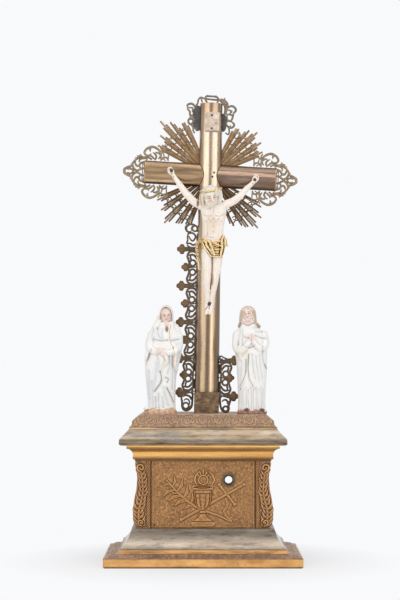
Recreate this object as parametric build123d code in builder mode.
"""Standing altar crucifix: a hollow moulded pedestal, a brass-clad cross plugged into its deck,
pierced scrollwork on the cross, a bisque body nailed to it and two bisque figures beside it.

Millimetres, +Z up, the front faces -Y, origin at the middle of the underside.
"""

import os
from math import cos, radians, sin, sqrt

from build123d import *

os.makedirs("parts", exist_ok=True)

# Pedestal: board, carcass and the heights of its tiers
board_margin = 39.5
board_front_extra = 0.5
board_height = 10.5
board_corner = 3.0
board_edge = 1.5
carcass_width = 152.0
carcass_depth = 120.0
wall = 8.0
die_bottom = 42.5
die_top = 121.5
cavetto_top = 140.0
cornice_top = 161.0
deck_top = 175.5
overrun = 2.0

# Mouldings: how far each member stands out from the carcass
border_inset = 0.5
border_lip = 1.0
border_rise = 4.5
step_reach = 22.0
step_top = 19.6
cove_start = 20.6
cove_middle = 13.0
cove_middle_height = 28.4
cove_end = 8.6
cove_end_height = 39.5
cove_fillet = 7.6
cavetto_foot = 4.2
cavetto_foot_height = 2.0
cavetto_start = 6.4
cavetto_start_height = 4.5
cavetto_end = 13.6
cavetto_end_height = 14.6
cavetto_bend = 3.0
cornice_reach = 22.0
cornice_under = 19.5
cornice_under_height = 1.4
cornice_nose_height = 4.6
cornice_shoulder = 17.2
cornice_shoulder_height = 11.6
cornice_neck = 11.2
cornice_neck_height = 18.4
cornice_bead = 10.6
rim_reach = 8.5
rim_knee = 6.4
rim_knee_height = 7.4
rim_inset = 3.0

# Die: bowed side panels, pilasters and the front panel with its hole
ogee_bulge = 6.0
ogee_shares = (
    (0.0, 0.16), (0.05, 0.66), (0.12, 0.98), (0.27, 1.0), (0.43, 0.72),
    (0.57, 0.33), (0.74, 0.13), (0.86, 0.33), (0.95, 0.62), (1.0, 0.5),
)
pilaster_inner = 61.5
pilaster_thickness = 3.6
pilaster_round = 1.4
panel_thickness = 1.2
panel_gap = 0.3
panel_hole = 8.8
panel_hole_x = 30.0
panel_hole_z = 99.0
panel_tack_radius = 0.7
panel_tack_head = 1.7
panel_tack_dome = 0.8
panel_tack_length = 7.0
panel_tack_inset = 4.0

# Cross: seat on the deck, core, sheath
cross_x = 4.0
cross_back = 10.0
cross_lean = 0.95
beam_drop = 2.5
foot_gap = 0.3
foot_half = 14.9
foot_depth = 12.2
foot_height = 25.5
tenon_width = 18.0
tenon_depth = 7.0
tenon_length = 40.0
tenon_clearance = 0.4
tenon_middle = 6.0
socket_width = 46.0
socket_depth = 34.0
socket_height = 30.0
upright_foot_half = 14.7
upright_top_half = 13.5
upright_crown = 11.6
crossing_height = 286.4
head_height = 86.6
arm_reach = 78.6
arm_half = 14.0
arm_crown = 9.6
sheet = 0.7
sheet_clearance = 0.15
saddle_clearance = 0.2
lap = 5.0
lap_clearance = 0.1
cap_thickness = 0.8

# Title plaque and its pins
plaque_width = 14.4
plaque_height = 24.0
plaque_thickness = 1.2
plaque_above = 64.0
plaque_gap = 0.2
plaque_shift = 0.8
plaque_pin_spread = 8.0
plaque_pin_radius = 0.6
plaque_pin_head = 1.3
plaque_pin_length = 8.0
plaque_pin_dome = 0.7

# Pierced work: plate, line width, tacks behind it
plate = 0.8
scroll_line = 1.25
tack_radius = 0.6
tack_head = 1.8
tack_dome = 0.8
tack_length = 5.0
hole_clearance = 0.1
dome_share = 0.7

# Trefoil ends: arcs of the upper half as start, middle and end point, out along the arm and across it
trefoil_size = 33.0
trefoil_root = 34.0
trefoil_root_half = 12.6
trefoil_tip_gap = 0.4
trefoil_lobe_shares = (
    ((0.052, 0.676), (-0.158, 0.976), (-0.436, 0.83)),
    ((-0.436, 0.83), (-0.527, 0.621), (-0.558, 0.364)),
    ((0.052, 0.676), (-0.079, 0.624), (-0.152, 0.764)),
    ((-0.152, 0.764), (-0.152, 0.848), (-0.191, 0.964)),
    ((-0.152, 0.764), (-0.339, 0.697), (-0.303, 0.364)),
)
trefoil_tip_shares = (
    ((-0.015, 0.633), (-0.176, 0.576), (-0.2, 0.364)),
    ((0.167, 0.582), (-0.015, 0.527), (-0.097, 0.364)),
    ((-0.03, 0.352), (0.067, 0.303), (0.076, 0.197)),
    ((0.167, 0.582), (0.2, 0.442), (0.061, 0.345)),
    ((0.103, 0.382), (0.194, 0.327), (0.242, 0.212)),
    ((0.242, 0.576), (0.376, 0.394), (0.242, 0.212)),
    ((0.076, 0.197), (0.2, 0.052), (0.303, 0.009)),
    ((0.303, 0.009), (0.406, 0.091), (0.436, 0.224)),
    ((0.436, 0.224), (0.412, 0.291), (0.358, 0.394)),
    ((0.436, 0.224), (0.63, 0.158), (0.758, 0.0)),
    ((0.618, 0.036), (0.558, 0.109), (0.421, 0.127)),
)
trefoil_crown_shares = (
    ((0.018, 0.642), (0.109, 0.564), (0.176, 0.461)),
    ((-0.076, 0.624), (0.024, 0.515), (-0.03, 0.364)),
    ((0.176, 0.461), (0.194, 0.333), (0.139, 0.2)),
    ((-0.545, 0.545), (-0.652, 0.576), (-0.673, 0.655)),
)
trefoil_bar_shares = (0.076, 0.197)
tip_leaf_shares = ((0.252, 0.582, 0.055), (0.188, 0.642, 0.05), (0.324, 0.515, 0.04), (0.224, 0.4, 0.03))
crown_leaf_shares = ((0.2, 0.455, 0.045), (0.139, 0.533, 0.036))
crown_bar_shares = ((0.255, 0.2), (0.164, 0.26))
crown_ring_shares = (-0.742, 0.745, 0.11)
cheek_out = 16.6
cheek_length = 22.0
cheek_width = 9.6
cheek_drop = 17.0

# Ray fans: bars as angle, sideways shift, inner and outer reach, width
ray_reach = 86.0
ray_hub = 12.4
ray_hub_gap = 0.6
ray_bar_shares = (
    (45.5, 0.0, 0.12, 1.0, 0.026), (45.5, 0.034, 0.12, 0.93, 0.022), (45.5, -0.034, 0.12, 0.94, 0.022),
    (37.5, 0.0, 0.12, 0.72, 0.032), (54.0, 0.0, 0.12, 0.72, 0.032),
    (36.2, 0.0, 0.68, 0.86, 0.015), (38.8, 0.0, 0.68, 0.83, 0.015),
    (52.8, 0.0, 0.68, 0.84, 0.015), (55.4, 0.0, 0.68, 0.87, 0.015),
    (30.0, 0.0, 0.16, 0.83, 0.026), (28.0, 0.0, 0.55, 0.79, 0.015), (32.2, 0.0, 0.6, 0.8, 0.015),
    (62.0, 0.0, 0.16, 0.82, 0.02), (65.0, 0.0, 0.16, 0.84, 0.03), (68.0, 0.0, 0.3, 0.78, 0.015),
)
ray_swag_angles = (28.0, 32.2, 37.5, 45.5, 54.0, 62.0, 68.0)
ray_swag_share = 0.7
ray_swag_sag_share = 0.045
ray_curl_shares = ((41.5, 0.56, 0.026), (49.8, 0.56, 0.026), (33.8, 0.52, 0.022), (58.0, 0.52, 0.024))
ray_ring_share = 0.4
ray_ring_sag_share = 0.03
ray_line = 1.1

# Side galleries: arcs of half a repeat as start, middle and end point, out from the upright and along it
gallery_pitch = 43.6
gallery_edge = 13.9
gallery_low = 1.2
gallery_first_bud = 22.5
gallery_high_left = 222.0
gallery_high_right = 72.5
gallery_buds_left = 5
gallery_buds_right = 2
gallery_root = 4.0
gallery_rail = 1.0
gallery_line = 1.4
gallery_arc_shares = (
    ((0.337, 0.154), (0.174, 0.028), (0.005, 0.119)),
    ((0.326, 0.161), (0.174, 0.096), (0.005, 0.147)),
    ((0.326, 0.161), (0.261, 0.289), (0.239, 0.5)),
    ((0.22, 0.124), (0.211, 0.206), (0.165, 0.298)),
)
gallery_ring_shares = (0.135, 0.385, 0.094)
gallery_stem_shares = (0.14, 0.3)
big_bud_shares = (0.433, 0.135)
small_bud_shares = (0.319, 0.115)
petal_shares = (0.5, 0.42)

# The body on the cross, as shares of its height from toes to crown
corpus_height = 158.0
corpus_toes = 118.0
corpus_shift = 1.6
corpus_gap = 0.5
torso_shares = (
    (0.44, 0.018, 0.092, 0.062), (0.50, 0.02, 0.102, 0.066), (0.585, 0.022, 0.082, 0.056),
    (0.645, 0.023, 0.07, 0.05), (0.735, 0.024, 0.088, 0.062), (0.80, 0.024, 0.098, 0.066),
    (0.86, 0.016, 0.09, 0.054), (0.90, 0.01, 0.045, 0.042),
)
left_leg_shares = (
    (0.46, -0.022, 0.05, 0.056), (0.365, -0.024, 0.044, 0.05), (0.27, -0.018, 0.034, 0.04),
    (0.2, -0.016, 0.029, 0.034), (0.12, -0.006, 0.021, 0.025), (0.07, 0.0, 0.024, 0.026),
)
right_leg_shares = (
    (0.46, 0.058, 0.05, 0.056), (0.365, 0.058, 0.042, 0.05), (0.27, 0.054, 0.034, 0.04),
    (0.2, 0.038, 0.029, 0.034), (0.12, 0.022, 0.021, 0.025), (0.07, 0.014, 0.024, 0.026),
)
feet_shares = ((0.13, 0.008, 0.042, 0.03), (0.06, 0.006, 0.046, 0.03), (0.0, 0.004, 0.03, 0.018))
corpus_head_share = 0.915
corpus_head_shift_share = -0.004
corpus_head_half_share = 0.064
corpus_head_rise_share = 0.085
corpus_head_forward_share = 0.028
arm_section_shares = (
    (-0.06, 0.034), (0.1, 0.038), (0.28, 0.033), (0.45, 0.027), (0.56, 0.0285),
    (0.78, 0.019), (0.86, 0.0175),
)
hand_shares = ((0.86, 0.0185), (0.96, 0.026), (1.1, 0.024), (1.18, 0.012))
palm_flat_share = 0.55
shoulder_share = 0.86
shoulder_left_share = -0.066
shoulder_right_share = 0.112
left_hand_out = 46.7
left_hand_up = 4.0
right_hand_out = 53.5
right_hand_up = -5.4
hand_gap = 0.9
nail_radius = 0.9
nail_head = 2.0
nail_dome = 1.0
nail_bite = 4.0
nail_seat = 0.8
foot_nail_share = 0.085

# The two standing figures, as shares of their height
figure_height = 130.0
figure_y = -17.0
left_figure_x = -47.5
right_figure_x = 57.5
ground_height = 7.0
ground_depth = 13.5
left_ground_half = 23.0
right_ground_half = 18.0
ground_waist_share = 0.93
left_robe_shares = (
    (0.04, 0.0, 0.152, 0.088), (0.2, -0.004, 0.15, 0.088), (0.4, -0.008, 0.158, 0.094),
    (0.56, -0.004, 0.168, 0.098), (0.68, 0.0, 0.16, 0.094), (0.775, 0.004, 0.134, 0.08),
    (0.82, 0.006, 0.082, 0.06),
)
right_robe_shares = (
    (0.04, 0.0, 0.128, 0.084), (0.2, 0.002, 0.12, 0.084), (0.4, 0.004, 0.118, 0.088),
    (0.56, 0.004, 0.124, 0.092), (0.68, 0.004, 0.13, 0.088), (0.775, 0.0, 0.112, 0.074),
    (0.82, -0.01, 0.07, 0.056),
)
left_head_shares = (0.905, 0.008, 0.074, 0.095)
right_head_shares = (0.905, -0.03, 0.072, 0.095)

board_width = carcass_width + board_margin * 2
board_depth = carcass_depth + board_margin + board_front_extra
border_reach = board_margin - border_inset
upright_top = crossing_height + head_height
board_half = board_width / 2
carcass_half = carcass_width / 2
back_y = board_depth / 2
front_y = back_y - carcass_depth
die_height = die_top - die_bottom
cross_seat = Location((cross_x, cross_back, deck_top + foot_gap), (0, cross_lean, 0))
crossing = Vector(0, 0, crossing_height)
beam_axis = Vector(cos(radians(beam_drop)), 0, -sin(radians(beam_drop)))
beam_up = Vector(sin(radians(beam_drop)), 0, cos(radians(beam_drop)))
toward_viewer = Vector(0, -1, 0)


def keep(part, name):
    """Label a finished piece and write it."""
    part.label = name
    export_step(part, f"parts/{name}.step")


def keep_on_cross(part, name):
    """Seat a piece of the cross in the deck's socket, leaning as the cross does, and write it."""
    keep(part.moved(cross_seat), name)


def moulding(outline, side):
    """Run an outline along one side of the carcass and mitre it at the front corners."""
    reach = board_depth
    right_corner = Plane((carcass_half, front_y, 0), x_dir=(0, 0, 1), z_dir=(1, 1, 0))
    left_corner = Plane((-carcass_half, front_y, 0), x_dir=(0, 0, 1), z_dir=(-1, 1, 0))
    if side == "front":
        start = Plane((board_half, front_y, 0), x_dir=(0, -1, 0), z_dir=(-1, 0, 0))
        reach = board_width
    elif side == "left":
        start = Plane((-carcass_half, -back_y, 0), x_dir=(-1, 0, 0), z_dir=(0, 1, 0))
    else:
        start = Plane((carcass_half, back_y, 0), x_dir=(1, 0, 0), z_dir=(0, -1, 0))
    with BuildPart() as run:
        with BuildSketch(start):
            with BuildLine():
                outline()
            make_face()
        extrude(amount=reach)
        if side != "left":
            split(bisect_by=right_corner, keep=Keep.BOTTOM if side == "front" else Keep.TOP)
        if side != "right":
            split(bisect_by=left_corner, keep=Keep.BOTTOM if side == "front" else Keep.TOP)
    return run.part


def half_round(half, crown, start):
    """Lines of a half-round whose flat back lies on the local x axis."""
    EllipticalCenterArc((0, 0), half, crown, start, arc_size=180)
    Line((-half, 0), (half, 0))


def upright_form(grow):
    """The upright's tapered half-round, grown all round by a clearance."""
    with BuildPart() as form:
        with BuildSketch(Plane.XY.offset(foot_height)):
            with BuildLine():
                half_round(upright_foot_half + grow, upright_crown + grow, 180)
            make_face()
        with BuildSketch(Plane.XY.offset(upright_top)):
            with BuildLine():
                half_round(upright_top_half + grow, upright_crown + grow, 180)
            make_face()
        loft()
    return form.part


def arm_plane(hand):
    """Section plane at the crossing, looking out along one arm."""
    return Plane(crossing, x_dir=beam_up * hand, z_dir=beam_axis * hand)


def beam_form(grow):
    """The crossbeam's half-round from end to end, grown by a clearance."""
    with BuildPart() as form:
        with BuildSketch(arm_plane(1)):
            with BuildLine():
                half_round(arm_half + grow, arm_crown + grow, 0)
            make_face()
        extrude(amount=arm_reach, both=True)
    return form.part


def shanks(spots, radius, near, far):
    """Round shanks along Y at points of the cross's own x and z, from near (front) to far (back)."""
    with BuildPart() as form:
        with BuildSketch(Plane.XZ.offset(-far)):
            with Locations(*spots):
                Circle(radius)
        extrude(amount=far - near)
    return form.part


def domes(spots, radius, rise, seat_y, facing):
    """Rounded heads that sit on the plane y = seat_y and face the viewer (-1) or the back (1)."""
    with BuildPart() as form:
        with BuildSketch(Plane.XZ.offset(-seat_y)):
            with Locations(*spots):
                Circle(radius)
        extrude(amount=-rise * facing)
        rim = form.edges().group_by(Axis.Y)[-1 if facing > 0 else 0]
        fillet(rim, rise * dome_share)
    return form.part


def ribbons(rows, width):
    """Round-ended strips along arcs of three points or straight lines of two."""
    strips = []
    for row in rows:
        points = [Vector(*point) for point in row]
        line = Edge.make_three_point_arc(*points) if len(points) > 2 else Edge.make_line(*points)
        strips.append(trace(line, line_width=width, mode=Mode.PRIVATE))
        for end in (points[0], points[-1]):
            strips.append(Pos(end) * Circle(width / 2, mode=Mode.PRIVATE))
    return Sketch() + strips


def rings(rows, width):
    """Flat rings given by centre and radius."""
    flat = []
    for middle, radius in rows:
        outer = Pos(*middle) * Circle(radius + width / 2, mode=Mode.PRIVATE)
        flat.append(outer - Pos(*middle) * Circle(radius - width / 2, mode=Mode.PRIVATE))
    return Sketch() + flat


# Base board, on which everything stands
with BuildPart() as base_board:
    with BuildSketch():
        RectangleRounded(board_width, board_depth, board_corner)
    extrude(amount=board_height)
    chamfer(base_board.faces().sort_by(Axis.Z)[0].edges(), board_edge)
keep(base_board.part, "base_board")


# Stamped border strips on the board's margin
def border_outline():
    top = board_height + border_lip
    Polyline(
        (step_reach, board_height), (border_reach, board_height), (border_reach, top),
        (step_reach, board_height + border_rise), close=True,
    )


for side in ("front", "left", "right"):
    keep(moulding(border_outline, side), f"{side}_border")


# Lower mouldings: gold step, then a silvered cove up to the die
def lower_outline():
    Polyline((0, board_height), (step_reach, board_height), (step_reach, step_top), (cove_start, step_top))
    ThreePointArc(
        (cove_start, step_top), (cove_middle, cove_middle_height), (cove_end, cove_end_height)
    )
    Polyline(
        (cove_end, cove_end_height), (cove_fillet, cove_end_height), (cove_fillet, die_bottom),
        (0, die_bottom), (0, board_height),
    )


for side in ("front", "left", "right"):
    keep(moulding(lower_outline, side), f"{side}_lower_moulding")


# Carcass boards: front between the two sides, the back left open
carcass_rise = cornice_top - board_height
with BuildPart() as front_board:
    with BuildSketch(Plane.XZ.offset(-front_y - wall)):
        with Locations((0, board_height + carcass_rise / 2)):
            Rectangle(carcass_width - wall - wall, carcass_rise)
        with Locations((panel_hole_x, panel_hole_z)):
            Circle(panel_hole / 2, mode=Mode.SUBTRACT)
    extrude(amount=wall)
tack_spots_panel = [
    (hand * (pilaster_inner - panel_tack_inset), height)
    for hand in (-1, 1)
    for height in (die_bottom + panel_tack_inset, die_top - panel_tack_inset)
]
with BuildPart() as front_board_bored:
    add(front_board.part)
    add(
        shanks(tack_spots_panel, panel_tack_radius + hole_clearance, front_y - overrun,
               front_y + panel_tack_length + overrun),
        mode=Mode.SUBTRACT,
    )
keep(front_board_bored.part, "carcass_front")

for hand, side in ((-1, "left"), (1, "right")):
    with BuildPart() as side_board:
        with BuildSketch(Plane.XY.offset(board_height)):
            with Locations((hand * (carcass_half - wall / 2), (front_y + back_y) / 2)):
                Rectangle(wall, carcass_depth)
        extrude(amount=carcass_rise)
    keep(side_board.part, f"carcass_{side}")


# Bowed side panels, then the pilasters that cover their front ends
def ogee_points(hand):
    return [
        (hand * (carcass_half + ogee_bulge * out), die_bottom + die_height * up) for up, out in ogee_shares
    ]


for hand, side in ((-1, "left"), (1, "right")):
    with BuildPart() as side_panel:
        with BuildSketch(Plane.XZ.offset(-back_y)):
            with BuildLine():
                bow = Spline(*ogee_points(hand))
                Polyline(bow @ 1, (hand * carcass_half, die_top), (hand * carcass_half, die_bottom), bow @ 0)
            make_face()
        extrude(amount=back_y - front_y)
    keep(side_panel.part, f"{side}_side_panel")

    with BuildPart() as pilaster:
        with BuildSketch(Plane.XZ.offset(-front_y)):
            with BuildLine():
                bow = Spline(*ogee_points(hand))
                Polyline(
                    bow @ 1, (hand * pilaster_inner, die_top), (hand * pilaster_inner, die_bottom), bow @ 0
                )
            make_face()
        extrude(amount=pilaster_thickness)
        outer_edges = pilaster.faces().sort_by(Axis.Y)[0].edges().sort_by(Axis.X)
        chamfer(outer_edges[0 if hand < 0 else -1], pilaster_round)
    keep(pilaster.part, f"{side}_pilaster")

# Stamped front panel between the pilasters, with the bored hole
with BuildPart() as front_panel:
    with BuildSketch(Plane.XZ.offset(-front_y)):
        with Locations((0, die_bottom + die_height / 2)):
            Rectangle((pilaster_inner - panel_gap) * 2, die_height)
        with Locations((panel_hole_x, panel_hole_z)):
            Circle(panel_hole / 2, mode=Mode.SUBTRACT)
        with Locations(*tack_spots_panel):
            Circle(panel_tack_radius + hole_clearance, mode=Mode.SUBTRACT)
    extrude(amount=panel_thickness)
keep(front_panel.part, "front_panel")

with BuildPart() as panel_tacks:
    add(domes(tack_spots_panel, panel_tack_head, panel_tack_dome, front_y - panel_thickness, -1))
    add(shanks(tack_spots_panel, panel_tack_radius, front_y - panel_thickness, front_y + panel_tack_length))
keep(panel_tacks.part, "panel_tacks")


# Gold cavetto under the cornice
def cavetto_outline():
    foot = die_top + cavetto_foot_height
    start = die_top + cavetto_start_height
    end = die_top + cavetto_end_height
    Polyline(
        (0, die_top), (cavetto_foot, die_top), (cavetto_foot, foot), (cavetto_start, foot),
        (cavetto_start, start),
    )
    SagittaArc((cavetto_start, start), (cavetto_end, end), cavetto_bend)
    Polyline((cavetto_end, end), (cavetto_end, cavetto_top), (0, cavetto_top), (0, die_top))


for side in ("front", "left", "right"):
    keep(moulding(cavetto_outline, side), f"{side}_cavetto")


# Silvered cornice, widest just above its lower edge, with a gold bead on top
def cornice_outline():
    under = cavetto_top + cornice_under_height
    nose = cavetto_top + cornice_nose_height
    shoulder = cavetto_top + cornice_shoulder_height
    neck = cavetto_top + cornice_neck_height
    Polyline((0, cavetto_top), (cornice_under, cavetto_top), (cornice_reach, under), (cornice_reach, nose))
    bow = Spline(
        (cornice_reach, nose), (cornice_shoulder, shoulder), (cornice_neck, neck),
        tangents=((0, 1), (-1, 1)),
    )
    Polyline(bow @ 1, (cornice_bead, neck), (cornice_bead, cornice_top), (0, cornice_top), (0, cavetto_top))


for side in ("front", "left", "right"):
    keep(moulding(cornice_outline, side), f"{side}_cornice")


# Stamped rim that slopes up to the deck
def rim_outline():
    Polyline(
        (-rim_inset, cornice_top), (rim_reach, cornice_top), (rim_knee, cornice_top + rim_knee_height),
        (-rim_inset, deck_top), close=True,
    )


for side in ("front", "left", "right"):
    keep(moulding(rim_outline, side), f"{side}_rim")


# Deck board and socket block, both cut by the cross's leaning mortise
def mortise():
    seat = Plane(cross_seat * Pos(0, -tenon_middle, 0))
    with BuildPart() as cut:
        with BuildSketch(seat):
            Rectangle(tenon_width + tenon_clearance * 2, tenon_depth + tenon_clearance * 2)
        extrude(amount=tenon_length + overrun + overrun, both=True)
    return cut.part


with BuildPart() as deck_board:
    with BuildSketch(Plane.XY.offset(cornice_top)):
        with Locations((0, (front_y + rim_inset + back_y) / 2)):
            Rectangle(carcass_width - rim_inset * 2, carcass_depth - rim_inset)
    extrude(amount=deck_top - cornice_top)
    add(mortise(), mode=Mode.SUBTRACT)
keep(deck_board.part, "deck_board")

with BuildPart() as socket_block:
    with BuildSketch(Plane.XY.offset(cornice_top)):
        with Locations((cross_x, cross_back - tenon_middle)):
            Rectangle(socket_width, socket_depth)
    extrude(amount=-socket_height)
    add(mortise(), mode=Mode.SUBTRACT)
keep(socket_block.part, "socket_block")


# Points of the cross that nails, pins and tacks go through
def beam_point(along, up):
    spot = crossing + beam_axis * along + beam_up * up
    return (spot.X, spot.Z)


hand_spots = [
    (-left_hand_out, crossing_height + left_hand_up),
    (right_hand_out, crossing_height + right_hand_up),
]
foot_spot = [(corpus_shift, corpus_toes + corpus_height * foot_nail_share)]
plaque_middle = crossing_height + plaque_above
pin_spots = [(plaque_shift, plaque_middle + way * plaque_pin_spread) for way in (1, -1)]
root_spread = trefoil_root_half / 2
arm_tack_along = arm_reach - trefoil_root / 2
trefoil_tacks = [
    beam_point(-arm_tack_along, root_spread), beam_point(-arm_tack_along, -root_spread),
    beam_point(arm_tack_along, root_spread), beam_point(arm_tack_along, -root_spread),
    (root_spread, upright_top - trefoil_root), (-root_spread, upright_top - trefoil_root),
]
gallery_tack_out = gallery_edge - gallery_root / 2
gallery_tack_rows = [foot_height + gallery_pitch * step for step in (0, 2, 4)]
gallery_tacks_left = [(-gallery_tack_out, row) for row in gallery_tack_rows]
gallery_tacks_right = [(gallery_tack_out, row) for row in gallery_tack_rows[:1]]
hub_middle = (ray_hub + ray_hub_gap) / 2
ray_tacks = [beam_point(across * hub_middle, up * hub_middle) for across in (-1, 1) for up in (-1, 1)]
plate_tacks = trefoil_tacks + gallery_tacks_left + gallery_tacks_right


def bores():
    """All shank holes through the cross's cores and sheaths."""
    with BuildPart() as cut:
        add(shanks(plate_tacks + ray_tacks, tack_radius + hole_clearance, -tack_length, overrun))
        start = -upright_crown - overrun
        add(shanks(hand_spots + foot_spot, nail_radius + hole_clearance, start, -nail_bite))
        add(shanks(pin_spots, plaque_pin_radius + hole_clearance, start, -nail_bite))
    return cut.part


cross_bores = bores()

# Wooden cores, halved into each other at the crossing
with BuildPart() as lap_back:
    with BuildSketch(Plane.XZ.offset(-overrun)):
        with Locations((0, crossing_height)):
            Rectangle(arm_reach * 2 + overrun * 2, arm_reach)
    extrude(amount=lap + overrun)

core_inset = -sheet - sheet_clearance
with BuildPart() as upright_core:
    add(upright_form(core_inset))
    with BuildSketch():
        with Locations((0, -foot_depth / 2)):
            Rectangle(foot_half * 2, foot_depth)
    extrude(amount=foot_height)
    with BuildSketch():
        with Locations((0, -tenon_middle)):
            Rectangle(tenon_width, tenon_depth)
    extrude(amount=-tenon_length)
    add(beam_form(core_inset + lap_clearance) & lap_back.part, mode=Mode.SUBTRACT)
    add(cross_bores, mode=Mode.SUBTRACT)
keep_on_cross(upright_core.part, "upright_core")

with BuildPart() as beam_core:
    add(beam_form(core_inset))
    add(upright_form(saddle_clearance) - lap_back.part, mode=Mode.SUBTRACT)
    add(cross_bores, mode=Mode.SUBTRACT)
keep_on_cross(beam_core.part, "beam_core")

# Half-round brass sheaths; the arms are saddled onto the upright
with BuildPart() as upright_sheath:
    add(upright_form(0))
    add(upright_form(-sheet), mode=Mode.SUBTRACT)
    add(beam_form(core_inset + lap_clearance) & lap_back.part, mode=Mode.SUBTRACT)
    add(cross_bores, mode=Mode.SUBTRACT)
keep_on_cross(upright_sheath.part, "upright_sheath")

for hand, side in ((-1, "left"), (1, "right")):
    with BuildPart() as arm_sheath:
        with BuildSketch(arm_plane(hand)):
            with BuildLine():
                half_round(arm_half, arm_crown, 0)
            make_face()
        extrude(amount=arm_reach)
        with BuildSketch(arm_plane(hand)):
            with BuildLine():
                half_round(arm_half - sheet, arm_crown - sheet, 0)
            make_face()
        extrude(amount=arm_reach, mode=Mode.SUBTRACT)
        add(upright_form(saddle_clearance), mode=Mode.SUBTRACT)
        add(cross_bores, mode=Mode.SUBTRACT)
    keep_on_cross(arm_sheath.part, f"{side}_arm_sheath")

    end = crossing + beam_axis * hand * arm_reach
    with BuildPart() as arm_cap:
        with BuildSketch(Plane(end, x_dir=beam_up * hand, z_dir=beam_axis * hand)):
            with BuildLine():
                half_round(arm_half, arm_crown, 0)
            make_face()
        extrude(amount=cap_thickness)
    keep_on_cross(arm_cap.part, f"{side}_cap")

with BuildPart() as top_cap:
    with BuildSketch(Plane.XY.offset(upright_top)):
        with BuildLine():
            half_round(upright_top_half, upright_crown, 180)
        make_face()
    extrude(amount=cap_thickness)
keep_on_cross(top_cap.part, "top_cap")

# Title plaque on the upright, held by two pins
plaque_back = -upright_crown - plaque_gap
with BuildPart() as title_plaque:
    with BuildSketch(Plane.XZ.offset(-plaque_back)):
        with Locations((plaque_shift, plaque_middle)):
            Rectangle(plaque_width, plaque_height)
        with Locations(*pin_spots):
            Circle(plaque_pin_radius + hole_clearance, mode=Mode.SUBTRACT)
    extrude(amount=plaque_thickness)
keep_on_cross(title_plaque.part, "title_plaque")

plaque_front = plaque_back - plaque_thickness
with BuildPart() as plaque_pins:
    add(domes(pin_spots, plaque_pin_head, plaque_pin_dome, plaque_front, -1))
    add(shanks(pin_spots, plaque_pin_radius, plaque_front, plaque_front + plaque_pin_length))
keep_on_cross(plaque_pins.part, "plaque_pins")

# Holes for the tacks behind the pierced work
plate_bores = shanks(plate_tacks, tack_radius + hole_clearance, -overrun, plate + overrun)
ray_bores = shanks(ray_tacks, tack_radius + hole_clearance, -overrun, plate * 2 + overrun)


# Trefoil ends: one stamping of nested scrolls, fitted behind each end of the cross
def both_sides(rows, size):
    """Points given for one half, sized and set on both sides of the arm's axis."""
    return [[(out * size, across * over * size) for out, over in row] for across in (-1, 1) for row in rows]


def leaves(rows, size):
    """Small solid leaves on both sides of the arm's axis."""
    discs = [
        Pos(out * size, across * over * size) * Circle(radius * size, mode=Mode.PRIVATE)
        for across in (-1, 1)
        for out, over, radius in rows
    ]
    return Sketch() + discs


def trefoil_root_plate():
    """The hidden tongue by which a trefoil is tacked to the back of the core."""
    with Locations((-trefoil_root / 2, 0)):
        Rectangle(trefoil_root, trefoil_root_half * 2)


def arm_trefoil(seat):
    size = trefoil_size
    bar, bar_half = trefoil_bar_shares
    frame = [((bar, bar_half), (0, bar_half)), ((bar, bar_half), (bar, 0))]
    with BuildPart() as stamping:
        with BuildSketch(seat):
            trefoil_root_plate()
            rows = trefoil_lobe_shares + trefoil_tip_shares + tuple(frame)
            add(ribbons(both_sides(rows, size), scroll_line))
            add(leaves(tip_leaf_shares, size))
        extrude(amount=plate)
        add(plate_bores, mode=Mode.SUBTRACT)
    return stamping.part


plate_back = Vector(0, plate, 0)
for hand, side in ((-1, "left"), (1, "right")):
    arm_end = crossing + beam_axis * hand * (arm_reach - trefoil_tip_gap) + plate_back
    keep_on_cross(arm_trefoil(Plane(arm_end, x_dir=beam_axis * hand, z_dir=toward_viewer)), f"{side}_trefoil")

# The top trefoil ends in a flat double bar and has plain cheeks beside the upright
top_end = Vector(0, 0, upright_top - trefoil_tip_gap) + plate_back
crown_high, crown_post = crown_bar_shares[0]
crown_bars = [((out, half), (out, 0)) for out, half in crown_bar_shares]
crown_frame = [((0, crown_post), (crown_high, crown_post))] + crown_bars
ring_out, ring_over, ring_radius = (share * trefoil_size for share in crown_ring_shares)
with BuildPart() as top_trefoil:
    with BuildSketch(Plane(top_end, x_dir=(0, 0, 1), z_dir=toward_viewer)):
        trefoil_root_plate()
        crown_rows = trefoil_lobe_shares + trefoil_crown_shares + tuple(crown_frame)
        add(ribbons(both_sides(crown_rows, trefoil_size), scroll_line))
        add(rings([((ring_out, across * ring_over), ring_radius) for across in (-1, 1)], scroll_line))
        add(leaves(crown_leaf_shares, trefoil_size))
        with Locations((-cheek_drop, cheek_out), (-cheek_drop, -cheek_out)):
            Ellipse(cheek_length / 2, cheek_width / 2)
    extrude(amount=plate)
    add(plate_bores, mode=Mode.SUBTRACT)
keep_on_cross(top_trefoil.part, "top_trefoil")


# Ray fans in the four corners of the crossing
def polar(angle, reach):
    return (reach * cos(radians(angle)), reach * sin(radians(angle)))


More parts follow.
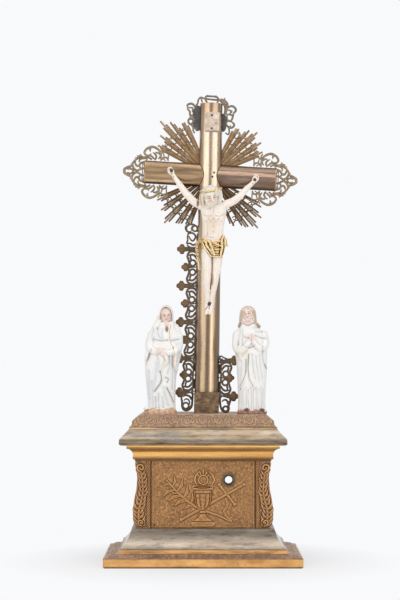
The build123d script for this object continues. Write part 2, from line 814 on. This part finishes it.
def ray_fan(seat):
    with BuildPart() as fan:
        with BuildSketch(seat):
            hub = (ray_hub + ray_hub_gap) / 2
            with Locations((hub, hub)):
                Rectangle(ray_hub - ray_hub_gap, ray_hub - ray_hub_gap)
            for angle, shift, inner, outer, width in ray_bar_shares:
                middle_x, middle_y = polar(angle, (inner + outer) / 2 * ray_reach)
                aside_x, aside_y = polar(angle + 90, shift * ray_reach)
                with Locations(Location((middle_x + aside_x, middle_y + aside_y), angle)):
                    Rectangle((outer - inner) * ray_reach, width * ray_reach)
            swags = [
                (
                    polar(first, share * ray_reach),
                    polar((first + last) / 2, (share - sag) * ray_reach),
                    polar(last, share * ray_reach),
                )
                for share, sag in ((ray_swag_share, ray_swag_sag_share), (ray_ring_share, ray_ring_sag_share))
                for first, last in zip(ray_swag_angles, ray_swag_angles[1:])
            ]
            add(ribbons(swags, ray_line))
            curls = [
                (polar(angle, reach * ray_reach), radius * ray_reach)
                for angle, reach, radius in ray_curl_shares
            ]
            add(rings(curls, ray_line))
        extrude(amount=plate)
        add(ray_bores, mode=Mode.SUBTRACT)
    return fan.part


for up, tier in ((1, "upper"), (-1, "lower")):
    for hand, side in ((-1, "left"), (1, "right")):
        fan = ray_fan(Plane(crossing + plate_back * 2, x_dir=beam_axis, z_dir=toward_viewer))
        turned = fan
        if hand < 0:
            turned = mirror(turned, about=Plane(crossing, x_dir=beam_up, z_dir=beam_axis))
        if up < 0:
            turned = mirror(turned, about=Plane(crossing, x_dir=beam_axis, z_dir=beam_up))
        keep_on_cross(turned, f"{tier}_{side}_rays")


# Side galleries: buds, crescents and rings on a thin rail behind the upright's edge
def square_bud(out, along, half):
    with Locations(Location((out, along), 45)):
        Rectangle(half * sqrt(2), half * sqrt(2))


def gallery_scrolls(buds, low, high):
    """Arcs and rings on both sides of each large bud, as far as low and high."""
    pitch = gallery_pitch
    ring_out, ring_along, ring_radius = gallery_ring_shares
    inner, outer = gallery_stem_shares
    arcs = []
    eyes = []
    for middle in buds:
        arcs.append(((inner * pitch, middle), (outer * pitch, middle)))
        for way in (-1, 1):
            for row in gallery_arc_shares:
                points = [(out * pitch, middle + way * along * pitch) for out, along in row]
                if low < points[2][1] < high:
                    arcs.append(points)
            eye = middle + way * ring_along * pitch
            if low + ring_radius * pitch < eye < high - ring_radius * pitch:
                eyes.append(((ring_out * pitch, eye), ring_radius * pitch))
    return ribbons(arcs, gallery_line) + rings(eyes, gallery_line)


def gallery(high, buds, tack_rows):
    pitch = gallery_pitch
    tacks = [(gallery_tack_out, row) for row in tack_rows]
    low = gallery_low
    big_out, big_half = big_bud_shares
    small_out, small_half = small_bud_shares
    petal_step, petal_radius = petal_shares
    with BuildPart() as strip:
        with BuildSketch(Plane((gallery_edge, plate, 0), x_dir=(1, 0, 0), z_dir=toward_viewer)):
            with Locations(((gallery_rail - gallery_root) / 2, (low + high) / 2)):
                Rectangle(gallery_rail + gallery_root, high - low)
            add(gallery_scrolls(buds, low, high))
            for middle in buds:
                half = big_half * pitch
                square_bud(big_out * pitch, middle, half)
                with Locations((big_out * pitch, middle)):
                    with PolarLocations(half * petal_step * sqrt(2), 4):
                        Circle(half * petal_radius)
                for way in (-1, 1):
                    small = middle + way * pitch / 2
                    if low + small_half * pitch < small < high - small_half * pitch:
                        square_bud(small_out * pitch, small, small_half * pitch)
        extrude(amount=plate)
        add(shanks(tacks, tack_radius + hole_clearance, -overrun, plate + overrun), mode=Mode.SUBTRACT)
    return strip.part


left_buds = [gallery_first_bud + gallery_pitch * step for step in range(gallery_buds_left)]
right_buds = [gallery_first_bud + gallery_pitch * step for step in range(gallery_buds_right)]
left_strip = gallery(gallery_high_left, left_buds, gallery_tack_rows)
keep_on_cross(mirror(left_strip, about=Plane.YZ), "left_gallery")
keep_on_cross(gallery(gallery_high_right, right_buds, gallery_tack_rows[:1]), "right_gallery")

# Tacks that hold the pierced work from behind
with BuildPart() as plate_tack_set:
    add(domes(plate_tacks, tack_head, tack_dome, plate, 1))
    add(shanks(plate_tacks, tack_radius, -tack_length + hole_clearance, plate))
keep_on_cross(plate_tack_set.part, "scrollwork_tacks")

with BuildPart() as ray_tack_set:
    add(domes(ray_tacks, tack_head, tack_dome, plate * 2, 1))
    add(shanks(ray_tacks, tack_radius, -tack_length + hole_clearance, plate * 2))
keep_on_cross(ray_tack_set.part, "ray_tacks")


# The body on the cross
def limb(shares, height, base, shift, depth_at):
    """Loft through ellipses: height, sideways place, half width and half depth as shares."""
    with BuildPart() as form:
        for up, over, half, deep in shares:
            with BuildSketch(Plane((shift + over * height, depth_at(deep * height), base + up * height))):
                Ellipse(half * height, deep * height)
        loft()
    return form.part


def before_upright(deep):
    return -upright_crown - corpus_gap - deep


def ball(middle, half, rise):
    """Spheroid around a vertical axis."""
    with BuildPart() as form:
        with BuildSketch(Plane(middle, x_dir=(1, 0, 0), z_dir=toward_viewer)):
            with BuildLine():
                EllipticalCenterArc((0, 0), half, rise, -90, arc_size=180)
                Line((0, -rise), (0, rise))
            make_face()
        revolve(axis=Axis(middle, (0, 0, 1)))
    return form.part


def arm_frame(hand):
    """Start, direction and length of one arm of the body, from shoulder to nail."""
    share = shoulder_left_share if hand < 0 else shoulder_right_share
    out, up = hand_spots[0 if hand < 0 else 1]
    deep = torso_shares[-2][3] * corpus_height
    start = Vector(
        corpus_shift + share * corpus_height,
        before_upright(deep),
        corpus_toes + shoulder_share * corpus_height,
    )
    palm = -arm_crown - hand_gap - hand_shares[1][1] * palm_flat_share * corpus_height
    reach = Vector(out, palm, up) - start
    return start, reach.normalized(), reach.length


def arm_form(hand):
    start, way, length = arm_frame(hand)
    across = way.cross(toward_viewer).normalized()
    with BuildPart() as form:
        for along, radius in arm_section_shares:
            with BuildSketch(Plane(start + way * length * along, x_dir=across, z_dir=way)):
                Circle(radius * corpus_height)
        loft()
        for along, half in hand_shares:
            with BuildSketch(Plane(start + way * length * along, x_dir=across, z_dir=way)):
                Ellipse(half * corpus_height, half * palm_flat_share * corpus_height)
        loft()
    return form.part


nail_holes = shanks(hand_spots + foot_spot, nail_radius + hole_clearance, -upright_crown * 4, overrun)
body_arms = {}
for hand, side in ((-1, "left"), (1, "right")):
    body_arms[side] = arm_form(hand)
    with BuildPart() as corpus_arm:
        add(body_arms[side])
        add(nail_holes, mode=Mode.SUBTRACT)
    keep_on_cross(corpus_arm.part, f"corpus_{side}_arm")

head_middle = Vector(
    corpus_shift + corpus_head_shift_share * corpus_height,
    before_upright((corpus_head_half_share + corpus_head_forward_share) * corpus_height),
    corpus_toes + corpus_head_share * corpus_height,
)
with BuildPart() as corpus_body:
    add(limb(torso_shares, corpus_height, corpus_toes, corpus_shift, before_upright))
    add(limb(left_leg_shares, corpus_height, corpus_toes, corpus_shift, before_upright))
    add(limb(right_leg_shares, corpus_height, corpus_toes, corpus_shift, before_upright))
    add(limb(feet_shares, corpus_height, corpus_toes, corpus_shift, before_upright))
    add(ball(head_middle, corpus_head_half_share * corpus_height, corpus_head_rise_share * corpus_height))
    add(body_arms["left"], mode=Mode.SUBTRACT)
    add(body_arms["right"], mode=Mode.SUBTRACT)
    add(nail_holes, mode=Mode.SUBTRACT)
keep_on_cross(corpus_body.part, "corpus_body")

# Nails through the hands and the feet
palm_front = -arm_crown - hand_gap - nail_seat - hand_shares[1][1] * palm_flat_share * corpus_height * 2
feet_front = -upright_crown - corpus_gap - nail_seat - feet_shares[1][3] * corpus_height * 2
with BuildPart() as corpus_nails:
    add(domes(hand_spots, nail_head, nail_dome, palm_front - hole_clearance, -1))
    add(shanks(hand_spots, nail_radius, palm_front - hole_clearance, -nail_bite - hole_clearance))
    add(domes(foot_spot, nail_head, nail_dome, feet_front - hole_clearance, -1))
    add(shanks(foot_spot, nail_radius, feet_front - hole_clearance, -nail_bite - hole_clearance))
keep_on_cross(corpus_nails.part, "corpus_nails")


# The two standing figures, each one piece with its patch of ground
def standing_figure(middle_x, ground_half, robe_shares, head_shares):
    head_up, head_over, head_half, head_rise = head_shares
    with BuildPart() as figure:
        with BuildSketch(Plane((middle_x, figure_y, deck_top))):
            Ellipse(ground_half, ground_depth)
        with BuildSketch(Plane((middle_x, figure_y, deck_top + ground_height))):
            Ellipse(ground_half * ground_waist_share, ground_depth * ground_waist_share)
        loft()
        add(limb(robe_shares, figure_height, deck_top, middle_x, lambda deep: figure_y))
        head = Vector(middle_x + head_over * figure_height, figure_y, deck_top + head_up * figure_height)
        add(ball(head, head_half * figure_height, head_rise * figure_height))
    return figure.part


keep(standing_figure(left_figure_x, left_ground_half, left_robe_shares, left_head_shares), "left_figure")
keep(standing_figure(right_figure_x, right_ground_half, right_robe_shares, right_head_shares), "right_figure")
